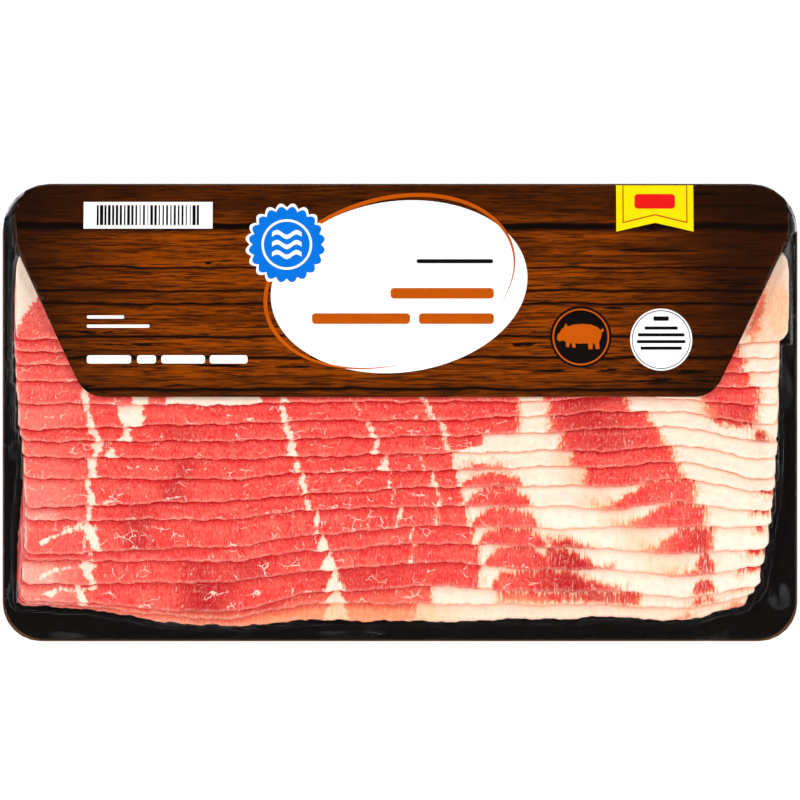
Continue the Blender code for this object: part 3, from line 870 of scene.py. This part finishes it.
def plank_surface():
    """Printed planks: long grain, dark grooves and a brighter middle."""
    material, g, shader = new_surface("plank_print")
    grain = g.noise(g.place((0.09, 1.5, 0.05)), 1.0, 6.0, 0.72, 0.5)
    streak = g.noise(g.place((0.012, 0.32, 0.05)), 1.0, 3.0, 0.6, 0.6)
    crack = g.noise(g.place((0.03, 0.6, 0.05), (3, 7, 0)), 1.0, 4.0, 0.7, 0.8)
    split = g.node("ShaderNodeSeparateXYZ")
    g.feed(split.inputs[0], g.place((1.0, 1.0, 1.0)))
    across, along = split.outputs["X"], split.outputs["Y"]

    wobble = g.math("MULTIPLY", g.math("SUBTRACT", g.noise(g.place((0.05, 0.05, 0.05)), 1.0, 3.0), 0.5), 2.2)
    level = g.math("ADD", along, wobble)
    low, high = CARD_FOOT / MM, CARD_TOP / MM
    white, black = (1, 1, 1, 1), (0, 0, 0, 1)
    stops = [(0.0, white), (1.0, white)]
    for place, half in zip(PLANK_GROOVES, GROOVE_HALF_WIDTHS):
        centre = (place - low) / (high - low)
        reach = half / (high - low)
        stops += [(centre - 1.3 * reach, white), (centre - 0.3 * reach, black),
                  (centre + 0.5 * reach, black), (centre + 0.8 * reach, white)]
    groove = g.ramp(g.remap(level, low, high, smooth=False), stops)

    sideways = g.remap(g.math("ABSOLUTE", g.math("ADD", across, 8.0)), 128.0, 60.0, 0.1, 1.0)
    upper = g.remap(along, 70.0, 60.0, 0.3, 1.0)
    lower = g.remap(along, 5.0, 16.0, 0.45, 1.0)
    glow = g.math("MULTIPLY", sideways, g.math("MULTIPLY", upper, lower))

    wood = g.mix(glow, linear(15, 4, 0), linear(146, 64, 0))
    wood = g.mix(g.math("MULTIPLY", g.remap(grain, 0.42, 0.6), 0.85), wood, linear(26, 7, 0))
    wood = g.mix(g.math("MULTIPLY", g.remap(streak, 0.48, 0.62), 0.55), wood, linear(40, 13, 0))
    wood = g.mix(g.remap(crack, 0.6, 0.63), wood, linear(10, 3, 0))
    wood = g.mix(groove, linear(9, 2, 0), wood)
    g.feed(shader.inputs["Base Color"], wood)
    g.feed(shader.inputs["Roughness"], g.remap(grain, 0.3, 0.7, 0.42, 0.55))
    shader.inputs["Specular IOR Level"].default_value = 0.03
    return material


def build_card():
    """The card: its print as fields of the top face, drawn out to the card's thickness."""
    ink_mottle()
    colours = {
        "plank_print": plank_surface(),
        "white_print": printed_colour("white_print", linear(252, 252, 252), 0.45),
        "orange_print": printed_colour("orange_print", linear(188, 82, 2)),
        "blue_print": printed_colour("blue_print", linear(2, 112, 215)),
        "dark_print": printed_colour("dark_print", linear(12, 6, 4)),
        "yellow_print": printed_colour("yellow_print", linear(254, 221, 4)),
        "red_print": printed_colour("red_print", linear(226, 24, 22)),
        "card_back": printed_colour("card_back", linear(208, 200, 188), 0.7),
    }
    fields = [(name, anticlockwise(outline)) for name, outline in printed_fields()]
    points, outlines = [], []
    for _, outline in fields:
        outlines.append(list(range(len(points), len(points) + len(outline))))
        points += [Vector(p) for p in outline]
    rulings = []
    for step in range(17):
        y = (CARD_BEND_END + (CARD_BEND_START - CARD_BEND_END) * (step / 12.0 - 0.17)) / MM
        rulings.append((len(points), len(points) + 1))
        points += [Vector((-134.0, y)), Vector((134.0, y))]
    verts, _, faces, _, _, sources = delaunay_2d_cdt(points, rulings, outlines, 0, 1e-5)

    names = list(colours)
    bm = bmesh.new()
    top = [bm.verts.new((v.x * MM, v.y * MM, float(card_height(v.y * MM)) + CARD_THICKNESS)) for v in verts]
    for face, source in zip(faces, sources):
        if 0 not in source:
            continue
        made = bm.faces.new([top[i] for i in face])
        made.material_index = names.index(fields[max(source)][0])
    loose = [v for v in bm.verts if not v.link_faces]
    bmesh.ops.delete(bm, geom=loose, context="VERTS")
    bmesh.ops.recalc_face_normals(bm, faces=bm.faces)
    lower = bmesh.ops.extrude_face_region(bm, geom=bm.faces[:])
    moved = [item for item in lower["geom"] if isinstance(item, bmesh.types.BMVert)]
    bmesh.ops.translate(bm, verts=moved, vec=(0, 0, -CARD_THICKNESS))
    for item in lower["geom"]:
        if isinstance(item, bmesh.types.BMFace):
            item.material_index = names.index("card_back")
    bmesh.ops.recalc_face_normals(bm, faces=bm.faces)
    mesh = bpy.data.meshes.new("printed_card")
    bm.to_mesh(mesh)
    bm.free()
    for name in names:
        mesh.materials.append(colours[name])
    mesh.shade_smooth()
    mesh.set_sharp_from_angle(angle=math.radians(30))
    card = add_object("printed_card", mesh)
    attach(card, "root")
    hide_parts("front_card")
    return colours


def bar_tree(material):
    """Bars of uneven width in a row, made on the points of a line, and its sizes by socket."""
    tree = bpy.data.node_groups.new("code_bars", "GeometryNodeTree")
    tree.interface.new_socket("Geometry", in_out="OUTPUT", socket_type="NodeSocketGeometry")
    sizes = {}
    for name, kind, value in (
        ("Count", "NodeSocketInt", 27),
        ("Length", "NodeSocketFloat", 34.0 * MM),
        ("Bar Height", "NodeSocketFloat", 6.8 * MM),
        ("Proud", "NodeSocketFloat", 0.06 * MM),
        ("Thin", "NodeSocketFloat", 0.16 * MM),
        ("Thick", "NodeSocketFloat", 1.15 * MM),
        ("Seed", "NodeSocketInt", 5),
    ):
        sizes[tree.interface.new_socket(name, in_out="INPUT", socket_type=kind).identifier] = value
    g = Graph(tree)
    given = g.node("NodeGroupInput").outputs
    line = g.node("GeometryNodeMeshLine", mode="END_POINTS")
    start, end, size = (g.node("ShaderNodeCombineXYZ") for _ in range(3))
    g.feed(start.inputs["X"], g.math("MULTIPLY", given["Length"], -0.5))
    g.feed(end.inputs["X"], g.math("MULTIPLY", given["Length"], 0.5))
    g.feed(line.inputs["Count"], given["Count"])
    g.feed(line.inputs["Start Location"], start.outputs[0])
    g.feed(line.inputs["Offset"], end.outputs[0])
    width = g.node("FunctionNodeRandomValue")
    g.feed(width.inputs[2], given["Thin"])
    g.feed(width.inputs[3], given["Thick"])
    g.feed(width.inputs["Seed"], given["Seed"])
    g.feed(size.inputs["X"], width.outputs[1])
    g.feed(size.inputs["Y"], given["Bar Height"])
    g.feed(size.inputs["Z"], given["Proud"])
    cube = g.node("GeometryNodeMeshCube")
    cube.inputs["Size"].default_value = (1.0, 1.0, 1.0)
    bars = g.node("GeometryNodeInstanceOnPoints")
    g.feed(bars.inputs["Points"], line.outputs["Mesh"])
    g.feed(bars.inputs["Instance"], cube.outputs["Mesh"])
    g.feed(bars.inputs["Scale"], size.outputs[0])
    realize = g.node("GeometryNodeRealizeInstances")
    g.feed(realize.inputs["Geometry"], bars.outputs["Instances"])
    paint = g.node("GeometryNodeSetMaterial")
    paint.inputs["Material"].default_value = material
    g.feed(paint.inputs["Geometry"], realize.outputs["Geometry"])
    g.feed(g.node("NodeGroupOutput").inputs["Geometry"], paint.outputs["Geometry"])
    return tree, sizes


def build_code_bars(ink):
    """Made-up code on the white label, laid on the card's slope."""
    tree, sizes = bar_tree(ink)
    carrier = add_object("code_bars_maker", bpy.data.meshes.new("code_bars_maker"))
    modifier = carrier.modifiers.new("bars", "NODES")
    modifier.node_group = tree
    for identifier, value in sizes.items():
        modifier[identifier] = value
    evaluated = carrier.evaluated_get(bpy.context.evaluated_depsgraph_get())
    mesh = bpy.data.meshes.new_from_object(evaluated)
    mesh.name = "code_bars"
    middle_y = 67.0 * MM
    slope = float(card_height(middle_y + MM) - card_height(middle_y - MM)) / (2.0 * MM)
    for vert in mesh.vertices:
        x, y, z = vert.co
        vert.co = (x - 85.6 * MM, middle_y + y,
                   float(card_height(middle_y)) + CARD_THICKNESS + slope * y + z + 0.01 * MM)
    bars = add_object("code_bars", mesh)
    bpy.data.objects.remove(carrier, do_unlink=True)
    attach(bars, "root")


# ---------------------------------------------------------------- board and film

BOARD_CORNER = 14.5             # mean corner radius in millimetres


def board_surface():
    """Black coated board, with a brown cut edge."""
    material, g, shader = new_surface("black_board")
    speck = g.noise(g.place((0.6, 0.6, 0.6)), 1.0, 3.0)
    black = g.mix(g.remap(speck, 0.3, 0.7), linear(9, 7, 6), linear(14, 11, 10))
    split = g.node("ShaderNodeSeparateXYZ")
    g.feed(split.inputs[0], g.node("ShaderNodeNewGeometry").outputs["Normal"])
    side = g.remap(g.math("ABSOLUTE", split.outputs["Z"]), 0.6, 0.3)
    # distance in from the rounded outline, for a thin brown rim
    place = g.node("ShaderNodeSeparateXYZ")
    g.feed(place.inputs[0], g.place())
    low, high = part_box("backing_board")
    past = [g.math("MAXIMUM", g.math("SUBTRACT", g.math("ABSOLUTE", place.outputs[axis]),
                                     high[axis] / MM - BOARD_CORNER), 0.0) for axis in (0, 1)]
    out = g.math("SQRT", g.math("ADD", g.math("POWER", past[0], 2.0), g.math("POWER", past[1], 2.0)))
    rim = g.math("MAXIMUM", side, g.remap(out, BOARD_CORNER - 0.7, BOARD_CORNER - 0.3, 0.0, 0.7))
    g.feed(shader.inputs["Base Color"], g.mix(rim, black, linear(96, 66, 40)))
    g.feed(shader.inputs["Roughness"], g.remap(speck, 0.3, 0.7, 0.3, 0.42))
    shader.inputs["Specular IOR Level"].default_value = 0.03
    return material


def film_surface():
    """Thin clear film: nothing but its gloss."""
    material = bpy.data.materials.new("clear_film")
    material.use_nodes = True
    g = Graph(material.node_tree)
    material.node_tree.nodes.remove(material.node_tree.nodes["Principled BSDF"])
    clear = g.node("ShaderNodeBsdfTransparent")
    gloss = g.node("ShaderNodeBsdfGlossy")
    gloss.inputs["Color"].default_value = (0.95, 0.95, 0.95, 1.0)
    ripple = g.noise(g.place((0.16, 0.22, 0.2)), 1.0, 3.0, 0.55)
    rough = g.remap(ripple, 0.3, 0.7, 0.04, 0.10)
    g.feed(gloss.inputs["Roughness"], rough)
    g.feed(gloss.inputs["Normal"], g.bump(ripple, 0.2, 0.4 * MM))
    rim = g.node("ShaderNodeFresnel")
    rim.inputs["IOR"].default_value = 1.2
    # only the outward side shines: seen from inside, a thin film doesn't trap light
    facing = g.math("SUBTRACT", 1.0, g.node("ShaderNodeNewGeometry").outputs["Backfacing"])
    blend = g.node("ShaderNodeMixShader")
    g.feed(blend.inputs[0], g.math("MULTIPLY", rim.outputs[0], facing))
    g.feed(blend.inputs[1], clear.outputs[0])
    g.feed(blend.inputs[2], gloss.outputs[0])
    g.feed(material.node_tree.nodes["Material Output"].inputs["Surface"], blend.outputs[0])
    return material


FILM_STEP = 1.0 * MM
FILM_CLEARANCE = 0.35 * MM
FILM_THICKNESS = 0.12 * MM
# folds of loose film: (start x, start y, end x, end y, height, half width), in millimetres
FOLDS = (
    (-133, 38, -128.5, 33, .6, .9), (-134, -7.6, -128, -8.5, .6, .9), (-134.5, -63.5, -128.5, -58, .7, .9),
    (-134, -66.5, -127.5, -60, .6, .8), (105.5, -77, 110, -70.5, .7, .9), (108.5, -77, 112, -71, .6, .8),
    (125.2, -49.2, 134, -52.2, .7, .9), (129.5, -1.5, 134, -4.5, .7, .9), (131.5, 33, 134.5, 32, .6, .8),
    (-129, -30, -133.5, -31, .5, .9), (-60, -77, -52, -73.5, .6, 1.0), (10, -77, 22, -73.5, .6, 1.0),
    (126, -60, 133, -66, .7, 1.0), (-133.5, 15, -131.5, -6, .5, .9), (131, -20, 132.5, -48, .5, .9),
)
# loose swellings in the border's film: (middle x, middle y, half width, half height, rise)
TENTS = (
    (-16, -73.5, 20, 3.2, 1.1), (-112, -74, 12, 3.0, .9), (130.3, 8, 3.6, 9, 1.2), (131, 25, 3.2, 9, 1.2),
    (128.5, -62, 4.6, 6, 1.5), (-131, -12.5, 2.8, 4.5, 1.0), (-130.5, -60, 3.2, 6, 1.0),
    (104, -75.5, 6, 2.4, .9),
)


def inside_outline(outline, x, y):
    """True where points lie inside a closed outline."""
    inside = np.zeros(x.shape, dtype=bool)
    previous = outline[-1]
    for point in outline:
        (x0, y0), (x1, y1) = previous, point
        crosses = (y0 > y) != (y1 > y)
        with np.errstate(divide="ignore", invalid="ignore"):
            reach = (x1 - x0) * (y - y0) / (y1 - y0) + x0
        inside ^= crosses & (x < reach)
        previous = point
    return inside


def contents_height(x, y):
    """Top of the slices, the card and the board at grid points."""
    top = np.full_like(x, BOARD_TOP)
    for number in range(1, SLICE_COUNT + 1):
        left, right = slice_ends(number)
        front, back = edge_line(number, x), edge_line(number + SLICE_SPAN, x)
        covered = (x > left - 0.3 * MM) & (x < right + 0.3 * MM) & (y > front - 0.4 * MM) & (y < back)
        surface = slice_underside(number, x, y) + SLICE_THICKNESS
        top = np.where(covered, np.maximum(top, surface), top)
    grown = [(px * 1.004, 41.0 + (py - 41.0) * 1.012) for px, py in CARD_OUTLINE]
    on_card = inside_outline(grown, x / MM, y / MM)
    return np.where(on_card, np.maximum(top, card_height(y) + CARD_THICKNESS), top)


def drawn_film(x, y):
    """Film drawn tight: a skin that may not sink into what it covers."""
    floor = contents_height(x, y) + FILM_CLEARANCE
    sheet = floor.copy()
    border = floor < BOARD_TOP + 2.0 * FILM_CLEARANCE
    for turn in range(8):
        spread = sheet.copy()
        spread[1:-1, 1:-1] = 0.25 * (sheet[2:, 1:-1] + sheet[:-2, 1:-1] + sheet[1:-1, 2:] + sheet[1:-1, :-2])
        spread = np.maximum(floor, spread)
        sheet = np.where(border & (turn > 0), sheet, spread)
    for middle_x, middle_y, half_width, half_height, rise in TENTS:
        away = np.hypot((x / MM - middle_x) / half_width, (y / MM - middle_y) / half_height)
        sheet += rise * MM * np.clip(1.0 - away ** 2, 0.0, 1.0) ** 2
    for x0, y0, x1, y1, height, half in FOLDS:
        ax, ay, bx, by = (MM * v for v in (x0, y0, x1, y1))
        length = math.hypot(bx - ax, by - ay)
        along = np.clip(((x - ax) * (bx - ax) + (y - ay) * (by - ay)) / length ** 2, 0.0, 1.0)
        away = np.hypot(x - ax - along * (bx - ax), y - ay - along * (by - ay))
        sheet += height * MM * np.exp(-(away / (half * MM)) ** 2) * np.sin(math.pi * (0.1 + 0.8 * along))
    return sheet


def build_film():
    """The film as one closed shell from edge to edge of the board."""
    low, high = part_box("film")
    columns = int((high[0] - low[0]) / FILM_STEP) + 1
    rows = int((high[1] - low[1]) / FILM_STEP) + 1
    x, y = np.meshgrid(np.linspace(low[0], high[0], columns), np.linspace(low[1], high[1], rows),
                       indexing="ij")
    # the sheet's outer ring is drawn in to the board's rounded corners
    for sx in (-1, 1):
        for sy, radius in ((-1, 13.0 * MM), (1, 16.0 * MM)):
            cx, cy = sx * (high[0] - radius), sy * (high[1] - radius)
            zone = (sx * (x - cx) > 0) & (sy * (y - cy) > 0)
            dx, dy = (x - cx) / radius, (y - cy) / radius
            square = np.maximum(np.abs(dx), np.abs(dy))
            round_ = np.hypot(dx, dy)
            shrink = np.where(zone & (round_ > 1e-9), square / np.maximum(round_, 1e-9), 1.0)
            x = np.where(zone, cx + dx * radius * shrink, x)
            y = np.where(zone, cy + dy * radius * shrink, y)
    z = drawn_film(x, y)
    verts = np.stack([x, y, z], axis=-1).reshape(-1, 3)
    faces = [(i * rows + j, (i + 1) * rows + j, (i + 1) * rows + j + 1, i * rows + j + 1)
             for i in range(columns - 1) for j in range(rows - 1)]
    mesh = bpy.data.meshes.new("clear_film")
    mesh.from_pydata(verts.tolist(), [], faces)
    mesh.shade_smooth()
    mesh.materials.append(film_surface())
    film = add_object("clear_film", mesh)
    shell = film.modifiers.new("film_thickness", "SOLIDIFY")
    shell.thickness = FILM_THICKNESS
    shell.offset = 1.0
    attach(film, "root")
    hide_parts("film")


def dress_board():
    """The board's own solid is its shape; it only gets its surface here."""
    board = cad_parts["backing_board"]
    board.data.materials.clear()
    board.data.materials.append(board_surface())


# ---------------------------------------------------------------- studio

VIEW_WIDTH = 0.2718             # what the picture's width takes in at the board's level
CAMERA_HEIGHT = 5.0
CAMERA_SHIFT_UP = 4.25 * MM     # the picture's middle lies above the pack's middle


def build_floor():
    bpy.ops.mesh.primitive_plane_add(size=24.0, location=(0, 0, -0.0003))
    floor = bpy.context.object
    floor.name = "floor"
    material, g, shader = new_surface("pale_floor")
    shader.inputs["Base Color"].default_value = (0.72, 0.72, 0.72, 1.0)
    shader.inputs["Roughness"].default_value = 0.9
    path = g.node("ShaderNodeLightPath")
    seen = g.math("MAXIMUM", path.outputs["Is Camera Ray"],
                  g.math("MAXIMUM", path.outputs["Is Glossy Ray"], path.outputs["Is Transmission Ray"]))
    shader.inputs["Emission Color"].default_value = (1, 1, 1, 1)
    g.feed(shader.inputs["Emission Strength"], g.math("MULTIPLY", seen, 0.42))
    floor.data.materials.append(material)


def add_lamp(name, azimuth, elevation, distance, size, strength):
    """Area lamp aimed at the pack. strength is its radiance."""
    lamp = bpy.data.lights.new(name, "AREA")
    lamp.shape = "RECTANGLE"
    lamp.size, lamp.size_y = size
    lamp.energy = strength * math.pi * size[0] * size[1]
    made = bpy.data.objects.new(name, lamp)
    turn, rise = math.radians(azimuth), math.radians(elevation)
    made.location = (distance * math.cos(rise) * math.sin(turn), distance * math.cos(rise) * math.cos(turn),
                     distance * math.sin(rise))
    made.rotation_euler = (Vector((0, 0, 0)) - made.location).to_track_quat("-Z", "Y").to_euler()
    bpy.context.scene.collection.objects.link(made)


def build_studio():
    """Two lamps behind, two in front, and a camera looking straight down."""
    scene = bpy.context.scene
    scene.view_settings.view_transform = "Standard"
    world = bpy.data.worlds.new("studio")
    world.use_nodes = True
    world.node_tree.nodes["Background"].inputs["Color"].default_value = (1, 1, 1, 1)
    world.node_tree.nodes["Background"].inputs["Strength"].default_value = 0.16
    scene.world = world
    add_lamp("back_left_lamp", -66, 38, 1.2, (1.0, 0.8), 3.55)
    add_lamp("back_right_lamp", 66, 38, 1.2, (1.0, 0.8), 3.55)
    add_lamp("front_left_lamp", -140, 45, 1.2, (1.0, 0.8), 2.65)
    add_lamp("front_right_lamp", 140, 45, 1.2, (1.0, 0.8), 2.65)
    lens = bpy.data.cameras.new("camera")
    lens.sensor_width = 36.0
    lens.lens = 36.0 * CAMERA_HEIGHT / VIEW_WIDTH
    lens.clip_end = 60.0
    camera = bpy.data.objects.new("camera", lens)
    camera.location = (0.0, CAMERA_SHIFT_UP, BOARD_TOP + CAMERA_HEIGHT)
    scene.collection.objects.link(camera)
    scene.camera = camera


build_studio()
build_floor()
build_slices()
card_colours = build_card()
build_code_bars(card_colours["dark_print"])
dress_board()
build_film()
